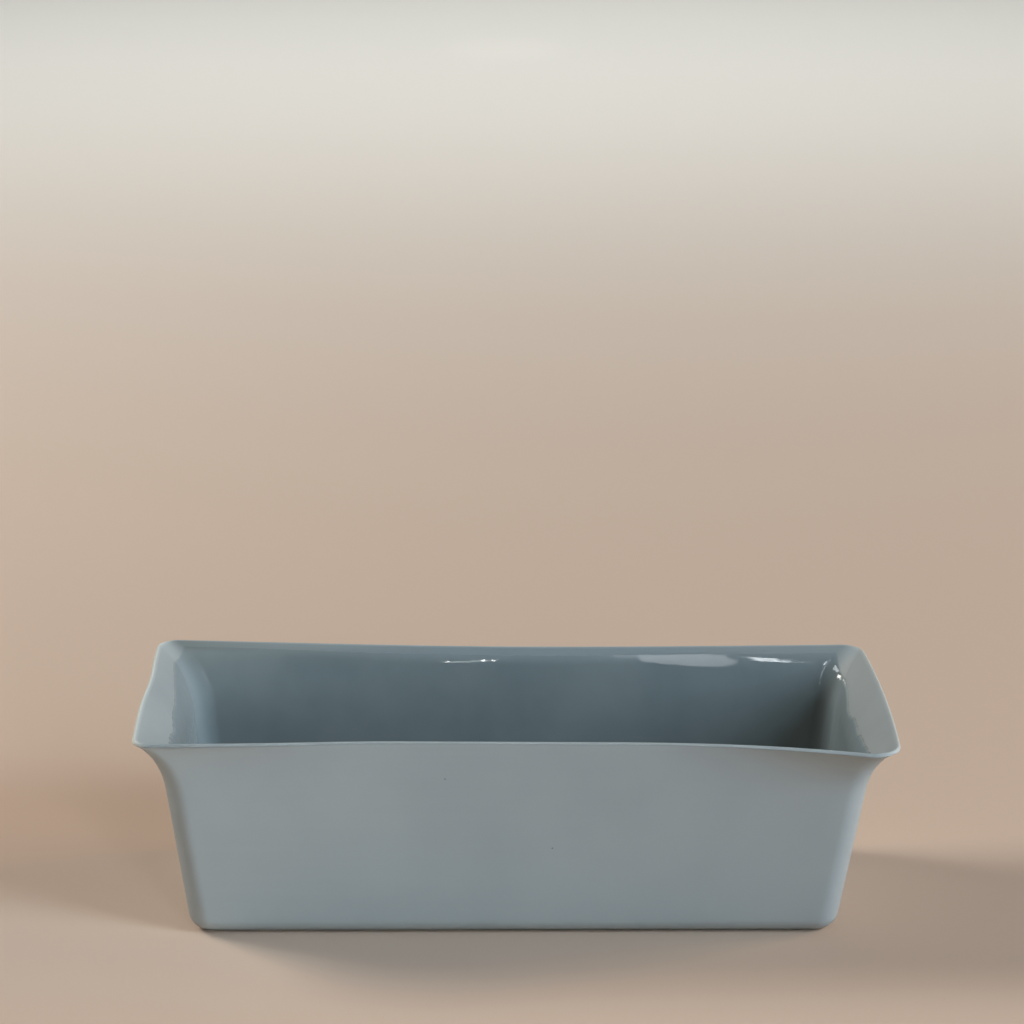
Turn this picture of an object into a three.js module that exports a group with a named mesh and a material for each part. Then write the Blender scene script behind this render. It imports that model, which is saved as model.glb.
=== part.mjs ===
// Loaf pan: one slip-cast clay body with a lip flared out at each end, and the lining of glaze
// poured into it. Millimetres. +X runs along the pan, +Y to the back, +Z up, base on z = 0.
import * as THREE from 'three';

// Outline of the outer skin at the base plane, before the rounded heel takes its share.
const HALF_LENGTH = 128.3;
const HALF_WIDTH = 44.2;
const CORNER_RADIUS = 8.4;
const CORNER_SOFTENING = 1.5;
// How far each wall leans out per millimetre of height.
const DRAFT_LEFT = 0.121;
const DRAFT_RIGHT = 0.152;
const DRAFT_SIDES = 0.1365;
// Height of the outer edge of the rim, and the radii at the foot of the wall.
const RIM_HEIGHT = 84.8;
const HEEL_RADIUS = 6.6;
const INNER_HEEL_RADIUS = 9.0;
// Clay gathers in the inner corners: how much bigger their radius is than the outer skin gives.
const INNER_CORNER_EXTRA = 3.5;
const WALL = 2.8;
// The wall thins by this much up to its rim, which is cut square and sponged: how far its crown
// stands up, and how square it is.
const RIM_THINNING = 1.1;
const RIM_CROWN = 0.9;
const RIM_SQUARENESS = 0.5;
// The top of the wall flares outwards into the lips.
const FLARE_HEIGHT = 20.4;
const FLARE_ANGLE = THREE.MathUtils.degToRad(64.1);
const FLARE_LEFT_END = 10.2;
const FLARE_RIGHT_END = 8.7;
const FLARE_FRONT_LEFT = 8.6;
const FLARE_FRONT_RIGHT = 8.1;
const FLARE_BACK_LEFT = 10.2;
const FLARE_BACK_RIGHT = 6.0;
// The plan's corners get tighter towards the rim, by this much at each end.
const RIM_CORNER_SHRINK_LEFT = 10.4;
const RIM_CORNER_SHRINK_RIGHT = 5.3;
// Along the long sides the flare dies away towards the middle.
const FLARE_FADE_FRONT = 0.3;
const FLARE_FADE_BACK = -0.1;
const FLARE_BACK_MIDDLE = 0.32;
// Small unevennesses of a hand-poured casting.
const RIM_DROP_PER_FLARE = 0.2;
const RIM_TILT = -0.006;
// The front left corner of the rim stands up a little and leans less to the front.
const FRONT_LEFT_RISE = 0.4;
const FRONT_LEFT_HOLD = 7.0;
const CORNER_REACH = 0.55;
const LEFT_LIP_DENT = 1.3;
const LEFT_LIP_DENT_AT = 0.35;
const LEFT_LIP_DENT_WIDTH = 0.4;
// Shift that puts the middle of the whole pan on the axes.
const CENTRE_X = 0.625;
const CENTRE_Y = 1.05;

// Glaze lining.
const GLAZE_GAP = 0.3;
const GLAZE_THICKNESS = 0.5;
// Bare clay left between the rim and the glaze, measured down the inner face.
const BARE_LEFT = 13.9;
const BARE_LEFT_SLANT = -3.4;
const BARE_RIGHT = 15.5;
const BARE_RIGHT_BOW = -1.2;
const BARE_SIDE_MIDDLE = 2.7;
const BARE_SIDE_BOW = 1.6;
// The glaze edge wanders: how far, and over what length divided by 2 pi.
const RAGGED_COARSE = 0.7;
const RAGGED_COARSE_PITCH = 6.1;
const RAGGED_FINE = 0.4;
const RAGGED_FINE_PITCH = 2.7;
const RAGGED_SIDES = 0.3;
const RAGGED_SIDES_PITCH = 9;

// Mesh steps.
const BODY_STEPS = { end: 12, corner: 6, side: 22 };
const GLAZE_STEPS = { end: 24, corner: 7, side: 20 };
const HEEL_STEPS = 5;
const WALL_STEPS = 2;
const FLARE_STEPS = 7;
const RIM_STEPS = 6;
const MEASURE_STEPS = 40;

const QUARTER = Math.PI / 2;

// Points once round the plan outline, counter-clockwise from above. Each holds its place along
// the pan (ex) and across it (ey), both -1 to 1, and the direction phi that the wall faces there.
function outline(steps) {
  const points = [];
  const ends = [[1, 1, 0], [-1, -1, 2]];
  for (const [side, sense, quarter] of ends) {
    for (let i = 0; i < steps.end; i += 1) {
      const along = -1 + (2 * i) / steps.end;
      points.push({ ex: side, ey: sense * along, phi: quarter * QUARTER });
    }
    for (let i = 0; i < steps.corner; i += 1) {
      const turn = (QUARTER * i) / steps.corner;
      points.push({ ex: side, ey: side, phi: quarter * QUARTER + turn });
    }
    for (let i = 0; i < steps.side; i += 1) {
      const along = 1 - (2 * i) / steps.side;
      points.push({ ex: sense * along, ey: side, phi: (quarter + 1) * QUARTER });
    }
    for (let i = 0; i < steps.corner; i += 1) {
      const turn = (QUARTER * i) / steps.corner;
      points.push({ ex: -side, ey: side, phi: (quarter + 1) * QUARTER + turn });
    }
  }
  return points;
}

// How far the lip reaches out beyond the drafted wall at one place on the outline.
function flareReach({ ex, ey, phi }) {
  const left = ex < 0;
  const front = left ? FLARE_FRONT_LEFT : FLARE_FRONT_RIGHT;
  const back = left ? FLARE_BACK_LEFT : FLARE_BACK_RIGHT;
  if (Math.abs(ex) === 1 && Math.abs(ey) < 1) {
    const corners = THREE.MathUtils.lerp(front, back, (ey + 1) / 2);
    const middle = (left ? FLARE_LEFT_END : FLARE_RIGHT_END) - (front + back) / 2;
    const offset = (ey - LEFT_LIP_DENT_AT) / LEFT_LIP_DENT_WIDTH;
    const dent = left ? LEFT_LIP_DENT * Math.exp(-offset * offset) : 0;
    return corners + middle * (1 - ey * ey) - dent;
  }
  const corner = ey > 0 ? back : front;
  if (Math.abs(ex) < 1) {
    const atBack = Math.sin(phi) > 0;
    const fade = atBack ? FLARE_FADE_BACK : FLARE_FADE_FRONT;
    const least = atBack ? FLARE_BACK_MIDDLE : 0;
    const near = Math.max(0, (Math.abs(ex) - fade) / (1 - fade));
    return least + (corner - least) * near * near;
  }
  return corner;
}

// Everything about the wall's section at one place on the outline.
function sectionAt(place) {
  const flare = flareReach(place);
  const draftEnd = place.ex < 0 ? DRAFT_LEFT : DRAFT_RIGHT;
  const facing = Math.cos(place.phi) ** 2;
  const draft = draftEnd * facing + DRAFT_SIDES * (1 - facing);
  const nearEnd = Math.max(0, (Math.abs(place.ex) - CORNER_REACH) / (1 - CORNER_REACH));
  const frontness = place.ex < 0 ? (1 - place.ey) / 2 : 0;
  const frontLeft = nearEnd * nearEnd * frontness;
  const rim = RIM_HEIGHT - RIM_DROP_PER_FLARE * flare + FRONT_LEFT_RISE * frontLeft;
  const hold = FRONT_LEFT_HOLD * frontLeft;
  const shrink = place.ex < 0 ? RIM_CORNER_SHRINK_LEFT : RIM_CORNER_SHRINK_RIGHT;
  return { ...place, flare, draftEnd, draft, rim, hold, shrink };
}

// Puts a section point (out from the drafted wall, at height z) into space. The plan's corner
// there is rounder by the clay gathered in it.
function placePoint(section, z, out, profile, gathered) {
  const core = CORNER_RADIUS - section.shrink * profile + out + gathered;
  const radius = (core + Math.hypot(core, 2 * CORNER_SOFTENING)) / 2;
  const halfLength = HALF_LENGTH + section.draftEnd * z + out - radius;
  const halfWidth = HALF_WIDTH + DRAFT_SIDES * z + out - section.hold * profile - radius;
  const x = section.ex * halfLength + radius * Math.cos(section.phi);
  const y = section.ey * halfWidth + radius * Math.sin(section.phi);
  const height = z + (RIM_TILT * x * z) / RIM_HEIGHT;
  return new THREE.Vector3(x - CENTRE_X, y - CENTRE_Y, height);
}

function gatheredClay(depth) {
  return depth === 0 ? 0 : INNER_CORNER_EXTRA;
}

// The three stretches of a section, each run by t from 0 (low) to 1 (high), at a depth below
// the outer skin. Depth 0 is the outer skin itself and WALL is the inner face of the clay.
function heelPoint(section, t, depth) {
  const radius = depth === 0 ? HEEL_RADIUS : INNER_HEEL_RADIUS - (depth - WALL);
  const turn = t * QUARTER;
  const z = depth + radius * (1 - Math.cos(turn));
  const thickness = depth / Math.cos(Math.atan(section.draft));
  const out = -thickness - radius * (1 - Math.sin(turn));
  return placePoint(section, z, out, 0, gatheredClay(depth));
}

function wallPoint(section, t, depth) {
  const slope = Math.atan(section.draft);
  const low = depth === 0 ? HEEL_RADIUS : INNER_HEEL_RADIUS + WALL;
  const high = section.rim - FLARE_HEIGHT + depth * Math.sin(slope);
  const z = THREE.MathUtils.lerp(low, high, t);
  return placePoint(section, z, -depth / Math.cos(slope), 0, gatheredClay(depth));
}

function flareSlope(section, turn) {
  const reach = (section.flare * Math.sin(turn)) / (1 - Math.cos(FLARE_ANGLE));
  const rise = (FLARE_HEIGHT * Math.cos(turn)) / Math.sin(FLARE_ANGLE);
  return Math.atan(section.draft + reach / rise);
}

function flarePoint(section, t, depth) {
  const turn = t * FLARE_ANGLE;
  const profile = (1 - Math.cos(turn)) / (1 - Math.cos(FLARE_ANGLE));
  const climb = (FLARE_HEIGHT * Math.sin(turn)) / Math.sin(FLARE_ANGLE);
  const slope = flareSlope(section, turn);
  const deep = depth === 0 ? 0 : depth - RIM_THINNING * profile;
  const z = section.rim - FLARE_HEIGHT + climb + deep * Math.sin(slope);
  const inset = deep * (Math.cos(slope) + section.draft * Math.sin(slope));
  const gathered = gatheredClay(depth) * (1 - profile);
  return placePoint(section, z, section.flare * profile - inset, profile, gathered);
}

// Softened square edge that joins the outer skin to the inner face along the rim.
function rimPoint(section, t) {
  const slope = flareSlope(section, FLARE_ANGLE);
  const turn = t * Math.PI;
  const side = Math.cos(turn);
  const halfThick = (WALL - RIM_THINNING) / 2;
  const across = halfThick * (Math.sign(side) * Math.abs(side) ** RIM_SQUARENESS - 1);
  const beyond = RIM_CROWN * Math.sin(turn) ** RIM_SQUARENESS;
  const out = across * Math.cos(slope) + beyond * Math.sin(slope);
  const rise = beyond * Math.cos(slope) - across * Math.sin(slope);
  const drafted = section.flare + out - section.draft * rise;
  return placePoint(section, section.rim + rise, drafted, 1, 0);
}

// Joins a stack of rings into one closed skin. Each end ring is filled from its own centre.
function closedSkin(rings) {
  const count = rings[0].length;
  const points = rings.flat();
  const index = [];
  for (let row = 0; row < rings.length - 1; row += 1) {
    for (let i = 0; i < count; i += 1) {
      const next = (i + 1) % count;
      const low = row * count;
      const high = low + count;
      index.push(low + i, low + next, high + next);
      index.push(low + i, high + next, high + i);
    }
  }
  const ends = [[rings[0], 0, false], [rings[rings.length - 1], points.length - count, true]];
  for (const [ring, first, facesUp] of ends) {
    const centre = points.length;
    points.push(ring.reduce((sum, p) => sum.add(p), new THREE.Vector3()).divideScalar(count));
    for (let i = 0; i < count; i += 1) {
      const next = (i + 1) % count;
      index.push(centre, first + (facesUp ? i : next), first + (facesUp ? next : i));
    }
  }
  const skin = new THREE.BufferGeometry().setFromPoints(points);
  skin.setIndex(index);
  skin.computeVertexNormals();
  return skin;
}

function fractions(steps, skipFirst) {
  const list = [];
  for (let i = skipFirst ? 1 : 0; i <= steps; i += 1) {
    list.push(i / steps);
  }
  return list;
}

function castBody() {
  const sections = outline(BODY_STEPS).map(sectionAt);
  const climb = [
    ...fractions(HEEL_STEPS, false).map((t) => [heelPoint, t]),
    ...fractions(WALL_STEPS, true).map((t) => [wallPoint, t]),
    ...fractions(FLARE_STEPS, true).map((t) => [flarePoint, t]),
  ];
  const rings = climb.map(([curve, t]) => sections.map((s) => curve(s, t, 0)));
  for (const t of fractions(RIM_STEPS, true).slice(0, -1)) {
    rings.push(sections.map((s) => rimPoint(s, t)));
  }
  for (const [curve, t] of [...climb].reverse()) {
    rings.push(sections.map((s) => curve(s, t, WALL)));
  }
  return closedSkin(rings);
}

// Width of the bare band above the glaze, with a ragged edge.
function bareBand({ ex, ey, phi }) {
  const left = BARE_LEFT + BARE_LEFT_SLANT * ey;
  const right = BARE_RIGHT + BARE_RIGHT_BOW * ey * ey;
  const end = ex < 0 ? left : right;
  const side = BARE_SIDE_MIDDLE + BARE_SIDE_BOW * ex * ex;
  const facingEnd = THREE.MathUtils.smoothstep(Math.abs(Math.cos(phi)), 0, 1);
  const across = ey * HALF_WIDTH + Math.sin(phi) * CORNER_RADIUS;
  const coarse = RAGGED_COARSE * Math.sin(across / RAGGED_COARSE_PITCH + ex);
  const fine = RAGGED_FINE * Math.sin(across / RAGGED_FINE_PITCH + 2 * ex);
  const along = RAGGED_SIDES * Math.sin((ex * HALF_LENGTH) / RAGGED_SIDES_PITCH + ey);
  return THREE.MathUtils.lerp(side + along, end + coarse + fine, facingEnd);
}

// How far up the flare the glaze reaches: the bare band is measured down from the rim.
function glazeReach(section, depth) {
  const wanted = bareBand(section);
  let covered = 0;
  let above = flarePoint(section, 1, depth);
  for (let i = MEASURE_STEPS - 1; i >= 0; i -= 1) {
    const here = flarePoint(section, i / MEASURE_STEPS, depth);
    const step = here.distanceTo(above);
    if (covered + step >= wanted) {
      return (i + 1 - (wanted - covered) / step) / MEASURE_STEPS;
    }
    covered += step;
    above = here;
  }
  return 0;
}

// One column of the lining at a given depth, floor first.
function glazeColumn(section, depth) {
  const reach = glazeReach(section, depth);
  return [
    ...fractions(HEEL_STEPS, false).map((t) => heelPoint(section, t, depth)),
    ...fractions(WALL_STEPS, true).map((t) => wallPoint(section, t, depth)),
    ...fractions(FLARE_STEPS, true).map((t) => flarePoint(section, t * reach, depth)),
  ];
}

function interiorGlaze() {
  const sections = outline(GLAZE_STEPS).map(sectionAt);
  const back = sections.map((s) => glazeColumn(s, WALL + GLAZE_GAP));
  const front = sections.map((s) => glazeColumn(s, WALL + GLAZE_GAP + GLAZE_THICKNESS));
  const rings = [];
  const rows = back[0].length;
  for (let row = 0; row < rows; row += 1) {
    rings.push(back.map((column) => column[row]));
  }
  for (let row = rows - 1; row >= 0; row -= 1) {
    rings.push(front.map((column) => column[row]));
  }
  return closedSkin(rings);
}

function namedMesh(name, geometry, surface) {
  const mesh = new THREE.Mesh(geometry, new THREE.MeshStandardMaterial(surface));
  mesh.name = name;
  return mesh;
}

const pan = new THREE.Group();
pan.name = 'loaf_pan';
const clay = { color: 0x9aa4a6, roughness: 0.5, metalness: 0 };
const glass = { color: 0x5f7178, roughness: 0.15, metalness: 0 };
pan.add(namedMesh('cast_body', castBody(), clay));
pan.add(namedMesh('interior_glaze', interiorGlaze(), glass));

export default pan;
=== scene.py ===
import math

import bpy
import numpy as np
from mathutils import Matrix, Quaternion, Vector


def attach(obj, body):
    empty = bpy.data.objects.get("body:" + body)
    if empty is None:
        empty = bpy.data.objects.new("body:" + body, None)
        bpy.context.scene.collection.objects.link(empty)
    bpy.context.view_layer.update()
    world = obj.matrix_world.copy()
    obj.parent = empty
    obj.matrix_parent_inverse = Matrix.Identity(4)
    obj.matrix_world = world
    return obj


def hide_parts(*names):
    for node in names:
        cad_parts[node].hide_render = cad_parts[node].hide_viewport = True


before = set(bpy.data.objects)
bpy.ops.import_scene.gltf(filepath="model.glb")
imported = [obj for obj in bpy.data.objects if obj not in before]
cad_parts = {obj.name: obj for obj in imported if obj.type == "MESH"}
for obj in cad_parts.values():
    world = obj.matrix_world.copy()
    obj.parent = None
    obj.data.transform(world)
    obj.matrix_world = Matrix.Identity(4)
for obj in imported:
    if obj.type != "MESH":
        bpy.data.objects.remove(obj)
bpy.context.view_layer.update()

# A slip-cast loaf pan. Its skins follow the same shape law as the CAD solids, in finer steps.
# Lengths are in millimetres until a mesh is made, and directions are the row frame's:
# +X along the pan, +Y to the back, +Z up.
MM = 0.001
QUARTER = math.pi / 2

# Outline of the outer skin at the base plane.
HALF_LENGTH = 128.3
HALF_WIDTH = 44.2
CORNER_RADIUS = 8.4
CORNER_SOFTENING = 1.5
# How far each wall leans out for every millimetre of height.
DRAFT_LEFT = 0.121
DRAFT_RIGHT = 0.152
DRAFT_SIDES = 0.1365
RIM_HEIGHT = 84.8
HEEL_RADIUS = 6.6
INNER_HEEL_RADIUS = 9.0
# Clay gathers in the inner corners: how much bigger their radius is than the outer skin gives.
INNER_CORNER_EXTRA = 3.5
WALL = 2.8
# The wall thins by this much up to its rim, which is cut square and sponged: the crown's
# height, and how square it is.
RIM_THINNING = 1.1
RIM_CROWN = 0.9
RIM_SQUARENESS = 0.5

# Flare of the wall's top into the lips: how far below the rim it starts, the angle of its arc,
# and how far it reaches out in the middle of each end and at each corner.
FLARE_HEIGHT = 20.4
FLARE_ANGLE = math.radians(64.1)
FLARE_LEFT_END = 10.2
FLARE_RIGHT_END = 8.7
FLARE_FRONT_LEFT = 8.6
FLARE_FRONT_RIGHT = 8.1
FLARE_BACK_LEFT = 10.2
FLARE_BACK_RIGHT = 6.0
# How much less the plan's corners open out at the rim than the flare alone would open them.
RIM_CORNER_SHRINK_LEFT = 10.4
RIM_CORNER_SHRINK_RIGHT = 5.3
# Along the long walls the flare grows from this share of the half length out to the corners.
# The back wall flares a little even in its middle.
FLARE_FADE_FRONT = 0.3
FLARE_FADE_BACK = -0.1
FLARE_BACK_MIDDLE = 0.32
# The rim sinks where it flares, and drops a little from left to right.
RIM_DROP_PER_FLARE = 0.2
RIM_TILT = -0.006
# The front left corner of the rim stands up a little and leans less to the front.
FRONT_LEFT_RISE = 0.4
FRONT_LEFT_HOLD = 7.0
CORNER_REACH = 0.55
# A shallow dent in the left lip.
LEFT_LIP_DENT = 1.3
LEFT_LIP_DENT_AT = 0.35
LEFT_LIP_DENT_WIDTH = 0.4
# The middle of the finished pan, which is moved to the row's origin.
CENTRE_X = 0.625
CENTRE_Y = 1.05

# Glaze lining: where its back lies, how thick it is, and how far it takes to thicken below its
# top edge: a rounded bead on the end walls, a long feathered edge on the long walls.
GLAZE_BACK = WALL + 0.06
GLAZE_THICKNESS = 0.45
GLAZE_BEAD = 2.0
GLAZE_FEATHER = 7.0
# The bare bands above the glaze, and a bite out of the glaze at each end.
BARE_LEFT = 13.9
BARE_LEFT_SLANT = -3.4
BARE_RIGHT = 15.5
BARE_RIGHT_BOW = -1.2
BARE_SIDE_MIDDLE = 2.7
BARE_SIDE_BOW = 1.6
BITE_DEPTH = 2.1
BITE_WIDTH = 0.25
LEFT_BITE_FROM = -0.05
LEFT_BITE_AT = -0.28
RIGHT_BITE_FROM = 0.15
RIGHT_BITE_AT = 0.38
# The wander of the glaze edge: layers of (spacing, size). It is smoothest at the back, and turns
# ragged over this share of the width on the way to the front.
RAGGED_SEED = 11
RAGGED_LAYERS = ((6.4, 0.45), (2.1, 0.55), (0.9, 0.30))
SMOOTHEST = 0.22
RAGGED_TURN = 0.12
# These keep the wander of one end wall, or of one long wall, apart from that of the other.
END_LINES_APART = 200
SIDE_LINES_APART = 400
# A painted highlight from the back-left window pales the left lip's edge more than the right one's,
# and half as much at the rim's foot.
RIGHT_EDGE_HIGHLIGHT = 0.45
RIM_FOOT_HIGHLIGHT = 0.5
# The darker bands along the back and front, partly a thin glaze wash and partly painted shade, cover
# the rim itself only by this share.
RIM_WASH_AND_SHADE = 0.45
# The wash and painted shade are weaker in the middle of the long bands and towards the right.
WASH_AND_SHADE_MIDDLE = 0.33
WASH_AND_SHADE_RIGHT = 0.5
WASH_AND_SHADE_POWER = 1.5

# Mesh steps round the outline and up the wall.
BODY_STEPS = {"end": 44, "corner": 16, "side": 90}
GLAZE_STEPS = {"end": 190, "corner": 26, "side": 130}
HEEL_STEPS = 10
WALL_STEPS = 12
FLARE_STEPS = 22
RIM_STEPS = 14
FLOOR_RINGS = 6
PATH_SAMPLES = 80
# Rings of the glaze: how far each lies below its edge, then how many share the rest of the way.
EDGE_RINGS = (0, 0.15, 0.35, 0.65, 1.0, 1.45, GLAZE_BEAD, 2.5, 3.2, 4.1, 5.3, GLAZE_FEATHER)
LOWER_RINGS = 46


def outline(steps):
    """Points once round the plan, counter-clockwise from above: place along, place across, facing."""
    along, across, facing = [], [], []
    for side, quarter in ((1, 0), (-1, 2)):
        end = np.linspace(-1, 1, steps["end"], endpoint=False)
        turn = np.linspace(0, QUARTER, steps["corner"], endpoint=False)
        run = np.linspace(1, -1, steps["side"], endpoint=False)
        along += [np.full_like(end, side), np.full_like(turn, side), side * run]
        along += [np.full_like(turn, -side)]
        across += [side * end, np.full_like(turn, side), np.full_like(run, side)]
        across += [np.full_like(turn, side)]
        facing += [np.full_like(end, quarter * QUARTER), quarter * QUARTER + turn]
        facing += [np.full_like(run, (quarter + 1) * QUARTER), (quarter + 1) * QUARTER + turn]
    return np.concatenate(along), np.concatenate(across), np.concatenate(facing)


def flare_reach(ex, ey, phi):
    """How far the lip reaches out beyond the drafted wall."""
    left = ex < 0
    front = np.where(left, FLARE_FRONT_LEFT, FLARE_FRONT_RIGHT)
    back = np.where(left, FLARE_BACK_LEFT, FLARE_BACK_RIGHT)
    corner = np.where(ey > 0, back, front)
    middle = np.where(left, FLARE_LEFT_END, FLARE_RIGHT_END) - (front + back) / 2
    dent = LEFT_LIP_DENT * np.exp(-(((ey - LEFT_LIP_DENT_AT) / LEFT_LIP_DENT_WIDTH) ** 2))
    end = front + (back - front) * (ey + 1) / 2 + middle * (1 - ey**2) - np.where(left, dent, 0)
    at_back = np.sin(phi) > 0
    fade = np.where(at_back, FLARE_FADE_BACK, FLARE_FADE_FRONT)
    least = np.where(at_back, FLARE_BACK_MIDDLE, 0)
    near = np.clip((np.abs(ex) - fade) / (1 - fade), 0, None)
    side = least + (corner - least) * near**2
    on_end = (np.abs(ex) == 1) & (np.abs(ey) < 1)
    on_side = np.abs(ex) < 1
    return np.where(on_end, end, np.where(on_side, side, corner))


class Section:
    """The wall's section at every place on an outline."""

    def __init__(self, steps):
        self.ex, self.ey, self.phi = outline(steps)
        self.flare = flare_reach(self.ex, self.ey, self.phi)
        self.draft_end = np.where(self.ex < 0, DRAFT_LEFT, DRAFT_RIGHT)
        facing = np.cos(self.phi) ** 2
        self.draft = self.draft_end * facing + DRAFT_SIDES * (1 - facing)
        near_end = np.clip((np.abs(self.ex) - CORNER_REACH) / (1 - CORNER_REACH), 0, None)
        frontness = np.where(self.ex < 0, (1 - self.ey) / 2, 0)
        front_left = near_end**2 * frontness
        self.rim = RIM_HEIGHT - RIM_DROP_PER_FLARE * self.flare + FRONT_LEFT_RISE * front_left
        self.hold = FRONT_LEFT_HOLD * front_left
        self.shrink = np.where(self.ex < 0, RIM_CORNER_SHRINK_LEFT, RIM_CORNER_SHRINK_RIGHT)

    def place(self, z, out, profile, gathered=0.0):
        """Points at height z, this far out of the drafted wall. Profile grows 0-1 up the flare."""
        core = CORNER_RADIUS - self.shrink * profile + out + gathered
        radius = (core + np.hypot(core, 2 * CORNER_SOFTENING)) / 2
        x = self.ex * (HALF_LENGTH + self.draft_end * z + out - radius) + radius * np.cos(self.phi)
        half_width = HALF_WIDTH + DRAFT_SIDES * z + out - self.hold * profile
        y = self.ey * (half_width - radius) + radius * np.sin(self.phi)
        height = z + RIM_TILT * x * z / RIM_HEIGHT
        return np.stack([x - CENTRE_X, y - CENTRE_Y, height], axis=-1)

    def heel(self, t, depth):
        """Round the heel, at this depth into the clay. A depth of None is the outer skin."""
        radius = HEEL_RADIUS if depth is None else INNER_HEEL_RADIUS - (depth - WALL)
        deep = 0 if depth is None else depth
        z = deep + radius * (1 - np.cos(t * QUARTER))
        out = -deep / np.cos(np.arctan(self.draft)) - radius * (1 - np.sin(t * QUARTER))
        return self.place(z, out, 0, 0 if depth is None else INNER_CORNER_EXTRA)

    def wall(self, t, depth):
        """Up the straight wall, from the heel to the start of the flare."""
        slope = np.arctan(self.draft)
        deep = 0 if depth is None else depth
        low = HEEL_RADIUS if depth is None else INNER_HEEL_RADIUS + WALL
        high = self.rim - FLARE_HEIGHT + deep * np.sin(slope)
        gathered = 0 if depth is None else INNER_CORNER_EXTRA
        return self.place(low + (high - low) * t, -deep / np.cos(slope), 0, gathered)

    def flare_slope(self, turn):
        """How far the flare leans from the vertical after this much of its arc."""
        reach = self.flare * np.sin(turn) / (1 - math.cos(FLARE_ANGLE))
        rise = FLARE_HEIGHT * np.cos(turn) / math.sin(FLARE_ANGLE)
        return np.arctan(self.draft + reach / rise)

    def lip(self, t, depth):
        """Up the flare to the rim."""
        turn = t * FLARE_ANGLE
        profile = (1 - np.cos(turn)) / (1 - math.cos(FLARE_ANGLE))
        deep = 0 if depth is None else depth - RIM_THINNING * profile
        climb = FLARE_HEIGHT * np.sin(turn) / math.sin(FLARE_ANGLE)
        slope = self.flare_slope(turn)
        z = self.rim - FLARE_HEIGHT + climb + deep * np.sin(slope)
        inset = deep * (np.cos(slope) + self.draft * np.sin(slope))
        gathered = 0 if depth is None else INNER_CORNER_EXTRA * (1 - profile)
        return self.place(z, self.flare * profile - inset, profile, gathered)

    def edge(self, t):
        """The softened square edge that joins the outer skin to the inner face."""
        slope = self.flare_slope(FLARE_ANGLE)
        side = math.cos(t * math.pi)
        thick = WALL - RIM_THINNING
        across = thick / 2 * (math.copysign(abs(side) ** RIM_SQUARENESS, side) - 1)
        beyond = RIM_CROWN * math.sin(t * math.pi) ** RIM_SQUARENESS
        out = across * np.cos(slope) + beyond * np.sin(slope)
        rise = beyond * np.cos(slope) - across * np.sin(slope)
        return self.place(self.rim + rise, self.flare + out - self.draft * rise, 1)

    def inside(self, s, depth):
        """A point on the inner face: s runs 0-1 round the heel, 1-2 up the wall, 2-3 up the lip."""
        heel = self.heel(np.clip(s, 0, 1), depth)
        wall = self.wall(np.clip(s - 1, 0, 1), depth)
        lip = self.lip(np.clip(s - 2, 0, 1), depth)
        s = np.broadcast_to(s, self.ex.shape)[:, None]
        return np.where(s < 1, heel, np.where(s < 2, wall, lip))


def steps_of(count):
    """Evenly spaced places from 0 to 1."""
    return np.linspace(0, 1, count + 1)


def closed_skin(name, rings):
    """A closed mesh object from stacked rings. Both ends shrink to their own centre."""
    first, last = rings[0], rings[-1]
    inward = [k / (FLOOR_RINGS + 1) for k in range(FLOOR_RINGS, 0, -1)]
    start = [first.mean(0) + (first - first.mean(0)) * k for k in reversed(inward)]
    finish = [last.mean(0) + (last - last.mean(0)) * k for k in inward]
    stack = np.array([*start, *rings, *finish])
    rows, count = stack.shape[:2]
    points = np.concatenate([stack.reshape(-1, 3), [first.mean(0)], [last.mean(0)]]) * MM
    faces = []
    for row in range(rows - 1):
        for i in range(count):
            n = (i + 1) % count
            low, high = row * count, (row + 1) * count
            faces.append((low + i, low + n, high + n, high + i))
    bottom, top, high = rows * count, rows * count + 1, (rows - 1) * count
    for i in range(count):
        n = (i + 1) % count
        faces.append((bottom, n, i))
        faces.append((top, high + i, high + n))
    mesh = bpy.data.meshes.new(name)
    mesh.from_pydata(points.tolist(), [], faces)
    mesh.polygons.foreach_set("use_smooth", [True] * len(mesh.polygons))
    mesh.update()
    piece = bpy.data.objects.new(name, mesh)
    bpy.context.scene.collection.objects.link(piece)
    return piece


def store(piece, name, section, per_ring):
    """Keeps one number per vertex for the material. The end fills take their ring's values."""
    full = [per_ring[0]] * FLOOR_RINGS + list(per_ring) + [per_ring[-1]] * FLOOR_RINGS
    flat = np.concatenate([np.broadcast_to(values, len(section.ex)) for values in full])
    flat = np.concatenate([flat, [np.mean(per_ring[0]), np.mean(per_ring[-1])]])
    attribute = piece.data.attributes.new(name, "FLOAT", "POINT")
    attribute.data.foreach_set("value", flat.astype(np.float32))


def make_body():
    section = Section(BODY_STEPS)
    climb = [(section.heel, t) for t in steps_of(HEEL_STEPS)]
    climb += [(section.wall, t) for t in steps_of(WALL_STEPS)[1:]]
    climb += [(section.lip, t) for t in steps_of(FLARE_STEPS)[1:]]
    rings = [curve(t, None) for curve, t in climb]
    rim = [0.0] * len(rings)
    wash_and_shade = [0.0] * len(rings)
    rim[-1] = RIM_FOOT_HIGHLIGHT
    for t in steps_of(RIM_STEPS)[1:-1]:
        rings.append(section.edge(t))
        rim.append(1.0)
        wash_and_shade.append(RIM_WASH_AND_SHADE)
    rings += [curve(t, WALL) for curve, t in reversed(climb)]
    rim += [RIM_FOOT_HIGHLIGHT] + [0.0] * (len(climb) - 1)
    wash_and_shade += [1.0] * len(climb)
    piece = closed_skin("pan_body", rings)
    # The lips' rim edges carry a painted highlight, weaker on the right lip.
    edge_glow = end_share(section) * np.where(section.ex < 0, 1, RIGHT_EDGE_HIGHLIGHT)
    store(piece, "rim_highlight", section, [value * edge_glow for value in rim])
    store(piece, "wash_and_shade", section, [value * wash_and_shade_strength(section) for value in wash_and_shade])
    return piece


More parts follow.
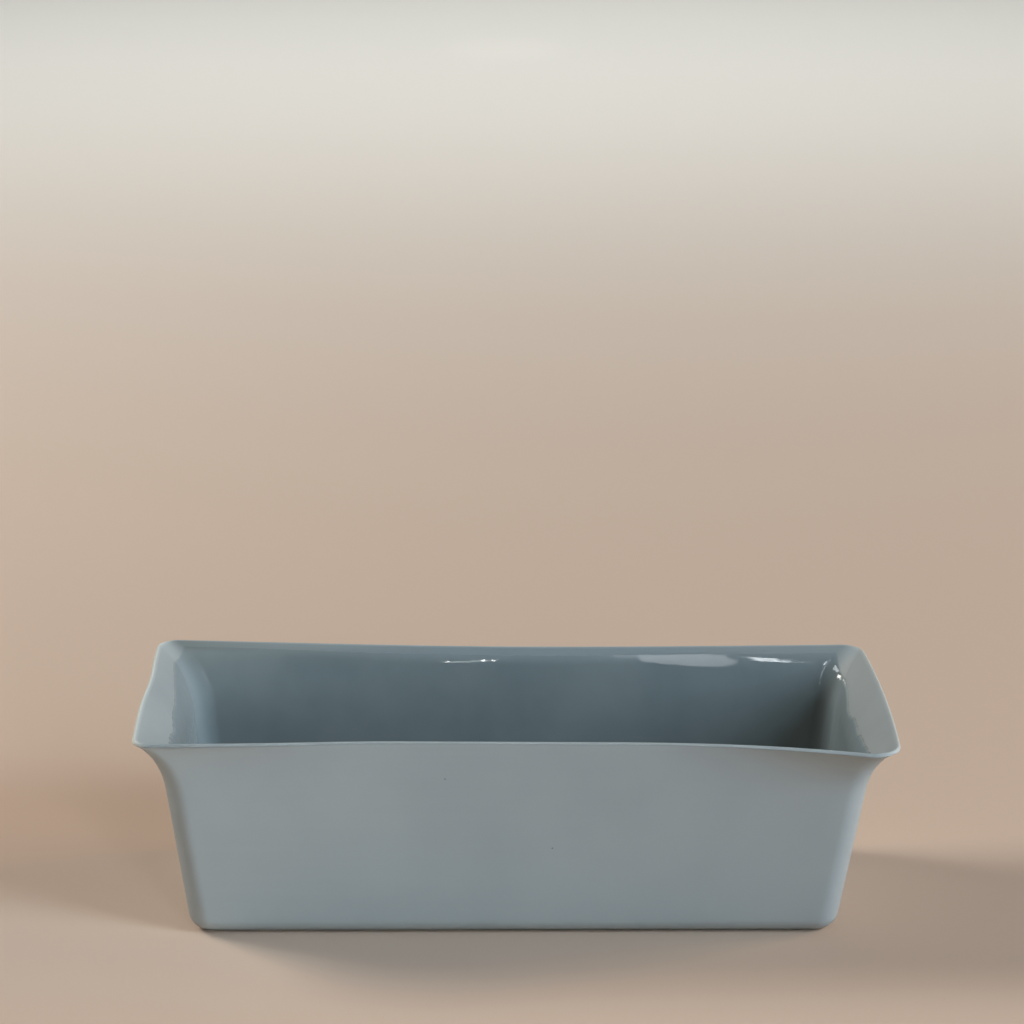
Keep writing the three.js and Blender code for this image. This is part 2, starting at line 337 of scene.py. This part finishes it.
def wandering(places, seed):
    """Random wander along a line, in millimetres."""
    random = np.random.default_rng(seed)
    total = np.zeros_like(places)
    low, high = places.min(), places.max()
    for spacing, size in RAGGED_LAYERS:
        knots = np.arange(low - spacing, high + 2 * spacing, spacing)
        total += size * np.interp(places, knots, random.uniform(-1, 1, len(knots)))
    return total


def bite(ey, start, centre, towards_front):
    """A piece missing from the glaze edge: it starts sharply and dies away."""
    inside = ey < start if towards_front else ey > start
    return np.where(inside, BITE_DEPTH * np.exp(-(((ey - centre) / BITE_WIDTH) ** 2)), 0)


def end_share(section):
    """1 on the two end walls, 0 on the two long walls, turning over at the corners."""
    facing = np.abs(np.cos(section.phi))
    return facing**2 * (3 - 2 * facing)


def wash_and_shade_strength(section):
    """How strongly the glaze wash and painted shade darken the bands along the long walls."""
    towards_end = np.abs(section.ex) ** WASH_AND_SHADE_POWER * np.where(section.ex < 0, 1, WASH_AND_SHADE_RIGHT)
    return (WASH_AND_SHADE_MIDDLE + (1 - WASH_AND_SHADE_MIDDLE) * towards_end) * (1 - end_share(section))


def bare_band(section):
    """Width of the bare clay between the rim and the glaze, down the inner face."""
    ex, ey, phi = section.ex, section.ey, section.phi
    left = BARE_LEFT + BARE_LEFT_SLANT * ey + bite(ey, LEFT_BITE_FROM, LEFT_BITE_AT, True)
    right = BARE_RIGHT + BARE_RIGHT_BOW * ey**2 + bite(ey, RIGHT_BITE_FROM, RIGHT_BITE_AT, False)
    side = BARE_SIDE_MIDDLE + BARE_SIDE_BOW * ex**2
    across = ey * HALF_WIDTH + np.sin(phi) * CORNER_RADIUS
    uneven = SMOOTHEST + (1 - SMOOTHEST) / (1 + np.exp(ey / RAGGED_TURN))
    end_line = wandering(across + END_LINES_APART * ex, RAGGED_SEED)
    side_line = wandering(ex * HALF_LENGTH + SIDE_LINES_APART * ey, RAGGED_SEED + 1)
    ends = np.where(ex < 0, left, right) + uneven * end_line
    sides = side + SMOOTHEST * side_line
    return sides + (ends - sides) * end_share(section)


def make_glaze():
    section = Section(GLAZE_STEPS)
    front = GLAZE_BACK + GLAZE_THICKNESS
    samples = np.linspace(3, 0, 3 * PATH_SAMPLES + 1)
    path = np.array([section.inside(s, front) for s in samples])
    run = np.linalg.norm(np.diff(path, axis=0), axis=-1).cumsum(axis=0)
    run = np.concatenate([np.zeros((1, run.shape[1])), run])
    band = bare_band(section)
    share = end_share(section)
    bead = GLAZE_FEATHER + (GLAZE_BEAD - GLAZE_FEATHER) * share

    def at(distance):
        """Place on the section that lies this far below the glaze edge."""
        wanted = band + distance
        return np.array([np.interp(w, run[:, i], samples) for i, w in enumerate(wanted)])

    left_over = run[-1] - band - GLAZE_FEATHER
    lower = [GLAZE_FEATHER + left_over * part for part in steps_of(LOWER_RINGS)[1:]]
    rings, edge, end_wall = [], [], []

    def add_ring(distance, depth):
        """A ring of the glaze. The end walls' share, which carries their painted light, fades out
        round the heel, towards the floor.
        """
        place = at(distance)
        rings.append(section.inside(place, depth))
        edge.append(distance)
        end_wall.append(share * np.clip(place, 0, 1))

    for distance in [*reversed(lower), 0]:
        add_ring(distance, GLAZE_BACK)
    for distance in [*EDGE_RINGS, *lower]:
        bulge = 1 - (1 - np.clip(distance / bead, 0, 1)) ** 2
        add_ring(distance, GLAZE_BACK + GLAZE_THICKNESS * bulge)
    piece = closed_skin("pan_glaze", rings)
    store(piece, "below_edge", section, edge)
    store(piece, "end_wall", section, end_wall)
    store(piece, "long_wall", section, [1 - share] * len(rings))
    store(piece, "wash_and_shade", section, [wash_and_shade_strength(section)] * len(rings))
    return piece


# Colours, as linear red, green and blue.
CLAY = (0.335, 0.375, 0.385)
CLAY_LIGHT = (0.375, 0.415, 0.420)
# A painted highlight on the lips' rim edges.
CLAY_EDGE_HIGHLIGHT = (0.60, 0.64, 0.61)
# Darker, tealer bands on the long walls: partly a thin glaze wash, partly painted shade.
CLAY_WASH_AND_SHADE = (0.140, 0.168, 0.165)
SPECK_DARK = (0.22, 0.24, 0.24)
SPECK_LIGHT = (0.60, 0.62, 0.60)
GLAZE = (0.208, 0.238, 0.240)
GLAZE_DEEP = (0.168, 0.200, 0.205)
# Painted light: the inner end walls are made lighter and bluer, as if lit from the right.
GLAZE_END_PAINTED_LIGHT = (0.272, 0.325, 0.342)
GLAZE_THIN = (0.34, 0.38, 0.37)
FLOOR_COLOUR = (0.560, 0.425, 0.330)
# How far the painted edge highlight, the end walls' painted light and the corners' pooling and
# painted shade go, and the share of a speck that is solid.
EDGE_HIGHLIGHT_STRENGTH = 0.95
END_PAINTED_LIGHT = 0.8
CORNER_POOLING_AND_SHADE = 1.6
SPECK_CORE = 0.6
# The middle range of a noise, where most of its values lie.
NOISE_LOW = 0.3
NOISE_HIGH = 0.7
# Wiped marks lie along the clay, and runs hang down the glaze.
WIPED_SCALE = (12, 12, 300)
RUN_SCALE = (150, 150, 7)
CLAY_IOR = 1.5
GLAZE_IOR = 1.52
FLOOR_ROUGHNESS = 0.6
# The floor's side, in metres like every place from here on.
FLOOR_SIZE = 30


class Nodes:
    """A short way to write a material's node tree."""

    def __init__(self, name):
        self.material = bpy.data.materials.new(name)
        self.material.use_nodes = True
        self.tree = self.material.node_tree
        self.shader = self.tree.nodes["Principled BSDF"]
        self.place = self.add("ShaderNodeTexCoord").outputs["Object"]

    def add(self, kind, **settings):
        node = self.tree.nodes.new(kind)
        for key, value in settings.items():
            setattr(node, key, value)
        return node

    def link(self, source, target):
        self.tree.links.new(source, target)

    def attribute(self, name):
        return self.add("ShaderNodeAttribute", attribute_name=name).outputs["Fac"]

    def stretched(self, scale):
        node = self.add("ShaderNodeMapping")
        self.link(self.place, node.inputs["Vector"])
        node.inputs["Scale"].default_value = scale
        return node.outputs["Vector"]

    def noise(self, scale, detail=2.0, rough=0.5, where=None):
        node = self.add("ShaderNodeTexNoise")
        self.link(where or self.place, node.inputs["Vector"])
        node.inputs["Scale"].default_value = scale
        node.inputs["Detail"].default_value = detail
        node.inputs["Roughness"].default_value = rough
        return node.outputs["Fac"]

    def ramp(self, value, low, high, out_low=0.0, out_high=1.0):
        node = self.add("ShaderNodeMapRange", interpolation_type="SMOOTHSTEP")
        self.link(value, node.inputs["Value"])
        node.inputs["From Min"].default_value = low
        node.inputs["From Max"].default_value = high
        node.inputs["To Min"].default_value = out_low
        node.inputs["To Max"].default_value = out_high
        return node.outputs["Result"]

    def cloud(self, value, out_low=0.0, out_high=1.0):
        """Spreads the middle range of a noise over these outputs."""
        return self.ramp(value, NOISE_LOW, NOISE_HIGH, out_low, out_high)

    def math(self, kind, a, b):
        node = self.add("ShaderNodeMath", operation=kind)
        for socket, value in zip(node.inputs, (a, b)):
            if isinstance(value, (int, float)):
                socket.default_value = value
            else:
                self.link(value, socket)
        return node.outputs["Value"]

    def blend(self, share, a, b):
        """Mixes two colours. The mix node keeps these in its sockets 6 and 7, and gives out 2."""
        node = self.add("ShaderNodeMix", data_type="RGBA")
        sockets = node.inputs[0], node.inputs[6], node.inputs[7]
        for socket, value in zip(sockets, (share, a, b)):
            if isinstance(value, tuple):
                socket.default_value = (*value, 1.0)
            elif isinstance(value, (int, float)):
                socket.default_value = value
            else:
                self.link(value, socket)
        return node.outputs[2]

    def specks(self, scale, radius, kept):
        """Scattered round dots: cells of 1/scale metres, of which a share is kept."""
        cells = self.add("ShaderNodeTexVoronoi")
        self.link(self.place, cells.inputs["Vector"])
        cells.inputs["Scale"].default_value = scale
        dot = self.ramp(cells.outputs["Distance"], radius * SPECK_CORE, radius, 1.0, 0.0)
        pick = self.add("ShaderNodeSeparateColor")
        self.link(cells.outputs["Color"], pick.inputs["Color"])
        chosen = self.math("LESS_THAN", pick.outputs["Red"], kept)
        return self.math("MULTIPLY", dot, chosen)

    def bump(self, height, strength, distance, under=None):
        node = self.add("ShaderNodeBump")
        node.inputs["Strength"].default_value = strength
        node.inputs["Distance"].default_value = distance
        self.link(height, node.inputs["Height"])
        if under:
            self.link(under, node.inputs["Normal"])
        return node.outputs["Normal"]


def clay_material():
    nodes = Nodes("bare_clay")
    cloud = nodes.cloud(nodes.noise(scale=14, detail=3, rough=0.55))
    colour = nodes.blend(cloud, CLAY, CLAY_LIGHT)
    wiped = nodes.noise(scale=1, detail=3, rough=0.6, where=nodes.stretched(WIPED_SCALE))
    colour = nodes.blend(nodes.ramp(wiped, low=0.35, high=0.75, out_high=0.22), colour, CLAY_LIGHT)
    grain = nodes.noise(scale=1500, rough=0.6)
    colour = nodes.blend(nodes.cloud(grain, out_high=0.12), colour, CLAY)
    # A painted highlight pales the lips' rim edges.
    edge_glow = nodes.math("MULTIPLY", nodes.attribute("rim_highlight"), EDGE_HIGHLIGHT_STRENGTH)
    colour = nodes.blend(edge_glow, colour, CLAY_EDGE_HIGHLIGHT)
    # The long bands darken: partly a thin glaze wash, partly painted shade.
    colour = nodes.blend(nodes.attribute("wash_and_shade"), colour, CLAY_WASH_AND_SHADE)
    colour = nodes.blend(nodes.specks(scale=70, radius=0.035, kept=0.10), colour, SPECK_DARK)
    colour = nodes.blend(nodes.specks(scale=55, radius=0.03, kept=0.12), colour, SPECK_LIGHT)
    nodes.link(colour, nodes.shader.inputs["Base Color"])
    patches = nodes.noise(scale=40, detail=3, rough=0.6)
    roughness = nodes.cloud(patches, out_low=0.46, out_high=0.58)
    nodes.link(roughness, nodes.shader.inputs["Roughness"])
    nodes.shader.inputs["IOR"].default_value = CLAY_IOR
    soft = nodes.bump(nodes.noise(scale=45), strength=0.25, distance=0.0006)
    fine = nodes.bump(grain, strength=0.25, distance=0.00005, under=soft)
    nodes.link(fine, nodes.shader.inputs["Normal"])
    return nodes.material


def glaze_material():
    nodes = Nodes("pan_glaze")
    below = nodes.attribute("below_edge")
    long_wall = nodes.attribute("long_wall")
    end_wall = nodes.attribute("end_wall")
    cloud = nodes.cloud(nodes.noise(scale=22, detail=3, rough=0.55))
    colour = nodes.blend(cloud, GLAZE_DEEP, GLAZE)
    run = nodes.noise(scale=1, where=nodes.stretched(RUN_SCALE))
    colour = nodes.blend(nodes.ramp(run, low=0.45, high=0.8, out_high=0.25), colour, GLAZE)
    # Painted light: the end walls are made lighter and bluer.
    colour = nodes.blend(nodes.math("MULTIPLY", end_wall, END_PAINTED_LIGHT), colour, GLAZE_END_PAINTED_LIGHT)
    # The inner corners darken: partly glaze pooling in the fillets, partly painted shade.
    corner = nodes.math("MULTIPLY", end_wall, long_wall)
    colour = nodes.blend(nodes.math("MULTIPLY", corner, CORNER_POOLING_AND_SHADE), colour, GLAZE_DEEP)
    thin = nodes.ramp(below, low=0.0, high=4.5, out_low=0.7, out_high=0.0)
    # The bare band, with its wash and painted shade, shows through where the glaze thins.
    band = nodes.blend(nodes.attribute("wash_and_shade"), CLAY, CLAY_WASH_AND_SHADE)
    colour = nodes.blend(nodes.math("MULTIPLY", thin, long_wall), colour, band)
    line = nodes.ramp(below, low=0.3, high=1.2, out_low=0.85, out_high=0.0)
    colour = nodes.blend(nodes.math("MULTIPLY", line, end_wall), colour, GLAZE_THIN)
    colour = nodes.blend(nodes.specks(scale=60, radius=0.03, kept=0.10), colour, SPECK_LIGHT)
    nodes.link(colour, nodes.shader.inputs["Base Color"])
    roughness = nodes.cloud(nodes.noise(scale=60), out_low=0.03, out_high=0.06)
    nodes.link(roughness, nodes.shader.inputs["Roughness"])
    nodes.shader.inputs["IOR"].default_value = GLAZE_IOR
    wave = nodes.bump(nodes.noise(scale=38, detail=1, rough=0.4), strength=0.06, distance=0.0010)
    drips = nodes.math("MULTIPLY", run, end_wall)
    drips = nodes.bump(drips, strength=0.25, distance=0.0004, under=wave)
    fine = nodes.bump(nodes.noise(scale=160), strength=0.05, distance=0.00012, under=drips)
    nodes.link(fine, nodes.shader.inputs["Normal"])
    return nodes.material


def floor_material():
    nodes = Nodes("pale_floor")
    nodes.shader.inputs["Base Color"].default_value = (*FLOOR_COLOUR, 1)
    nodes.shader.inputs["Roughness"].default_value = FLOOR_ROUGHNESS
    return nodes.material


def make_floor():
    bpy.ops.mesh.primitive_plane_add(size=FLOOR_SIZE, location=(0, 0, 0))
    floor = bpy.context.object
    floor.name = "floor"
    floor.data.materials.append(floor_material())


# Light colours: daylight from the right and from behind, and what tables and walls send back.
SKY_BLUE = (0.65, 0.83, 1.0)
SKY_PALE = (0.92, 0.97, 1.0)
DAY_WHITE = (1.0, 0.965, 0.91)
WARM_BOUNCE = (1.0, 0.65, 0.36)
COOL_BOUNCE = (0.66, 0.82, 1.0)
TABLE_BOUNCE = (1.0, 0.75, 0.47)
PATCH_BLUE = (0.85, 0.96, 1.0)
CURTAIN_WHITE = (0.92, 0.96, 1.0)
GAP_WHITE = (0.92, 0.98, 1.0)
WALL_GREY = (0.62, 0.83, 1.0)
ROOM_WHITE = (0.95, 0.98, 1.0)
ROOM_STRENGTH = 0.02
# The point that lights aim at, and how far away they stand unless told otherwise.
AIM = (0, 0, 0.05)
FAR = 2.0
SOFTBOX = (0.7, 0.7)
# The front left patch is a narrow beam, moved aside to fall on that part of the wall.
PATCH_SPREAD = math.radians(24)
PATCH_SHIFT = -0.28
BACKDROP_PLACE = (0, 2.2, 2.2)
BACKDROP_SPREAD = math.radians(80)

# The camera stands in front of the pan and looks down at it.
CAMERA_PLACE = (-0.0057, -1.2107, 0.5348)
CAMERA_DOWN = math.radians(17.138)
CAMERA_TURN = math.radians(-0.222)
LENS = 112.7
SENSOR = 36


def area_light(name, size, power, colour):
    """A light that points straight down until it is turned."""
    data = bpy.data.lights.new(name, "AREA")
    data.shape = "RECTANGLE"
    data.size, data.size_y = size
    data.energy = power
    data.color = colour
    light = bpy.data.objects.new(name, data)
    bpy.context.scene.collection.objects.link(light)
    return light


def aimed_light(name, azimuth, climb, size, power, colour=(1, 1, 1), distance=FAR, lean=0.0):
    """A soft light seen from the pan at this azimuth (0 right, 90 back) and climb, in degrees."""
    light = area_light(name, size, power, colour)
    around, up = math.radians(azimuth), math.radians(climb)
    ray = Vector((math.cos(around) * math.cos(up), math.sin(around) * math.cos(up), math.sin(up)))
    light.location = Vector(AIM) + ray * distance
    turned = ray.to_track_quat("Z", "Y") @ Quaternion((0, 0, 1), math.radians(lean))
    light.rotation_euler = turned.to_euler()
    return light


def make_soft_lights():
    """Daylight and bounces. Gloss mirrors only the window at the back left."""
    right_window = aimed_light(
        "right_window", azimuth=330, climb=27.5, size=(0.7, 1.15), power=37, colour=SKY_BLUE)
    right_bounce = aimed_light(
        "right_bounce", azimuth=10, climb=20, size=SOFTBOX, power=15.5, colour=WARM_BOUNCE)
    left_bounce = aimed_light(
        "left_bounce", azimuth=190, climb=20, size=SOFTBOX, power=0.6, colour=COOL_BOUNCE)
    front_bounce = aimed_light(
        "front_bounce", azimuth=290, climb=50, size=SOFTBOX, power=2.0, colour=TABLE_BOUNCE)
    aimed_light(
        "back_left_window", azimuth=160, climb=40, size=SOFTBOX, power=28, colour=DAY_WHITE)
    patch = aimed_light(
        "front_left_patch", azimuth=295, climb=12, size=(0.4, 0.4), power=0.30, colour=PATCH_BLUE)
    patch.data.spread = PATCH_SPREAD
    patch.location.x += PATCH_SHIFT
    for light in (right_window, right_bounce, left_bounce, front_bounce, patch):
        light.visible_glossy = False


def make_mirrored_lights():
    """The room that the glaze mirrors: a curtained window, its bright gap, two lamps, a skylight."""
    curtain = aimed_light(
        "curtain", azimuth=281.0, climb=42.5, size=(0.15, 1.5), power=2.0,
        colour=CURTAIN_WHITE, distance=1.99, lean=-7.5)
    curtain.data.shape = "ELLIPSE"
    gap = aimed_light(
        "curtain_gap", azimuth=286.8, climb=45.5, size=(0.028, 0.34), power=0.50,
        colour=GAP_WHITE, distance=1.995, lean=-11.5)
    lamp_a = aimed_light(
        "lamp_a", azimuth=266.7, climb=21, size=(0.006, 0.08), power=0.11, distance=1.962)
    lamp_b = aimed_light(
        "lamp_b", azimuth=268.3, climb=21, size=(0.009, 0.08), power=0.16, distance=1.961)
    skylight = aimed_light(
        "skylight", azimuth=205, climb=60, size=(2.2, 1.8), power=87,
        colour=SKY_PALE, distance=6.0)
    for light in (curtain, gap, lamp_a, lamp_b, skylight):
        light.visible_diffuse = False


def make_backdrop_light():
    """Hangs over the floor behind the pan and lights only that."""
    backdrop = area_light("backdrop", size=(3.0, 1.6), power=40, colour=WALL_GREY)
    backdrop.location = BACKDROP_PLACE
    backdrop.data.spread = BACKDROP_SPREAD
    backdrop.visible_glossy = False


def make_room():
    """The faint even light of the room itself."""
    world = bpy.data.worlds.new("room")
    world.use_nodes = True
    air = world.node_tree.nodes["Background"]
    air.inputs["Color"].default_value = (*ROOM_WHITE, 1)
    air.inputs["Strength"].default_value = ROOM_STRENGTH
    bpy.context.scene.world = world


def make_camera():
    data = bpy.data.cameras.new("camera")
    data.sensor_width = SENSOR
    data.lens = LENS
    camera = bpy.data.objects.new("camera", data)
    camera.location = CAMERA_PLACE
    camera.rotation_euler = (QUARTER - CAMERA_DOWN, 0, CAMERA_TURN)
    bpy.context.scene.collection.objects.link(camera)
    bpy.context.scene.camera = camera


make_camera()
body = make_body()
body.data.materials.append(clay_material())
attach(body, "root")
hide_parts("cast_body")

glaze = make_glaze()
glaze.data.materials.append(glaze_material())
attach(glaze, "root")
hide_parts("interior_glaze")

make_floor()
make_soft_lights()
make_mirrored_lights()
make_backdrop_light()
make_room()
bpy.context.scene.view_settings.view_transform = "Standard"
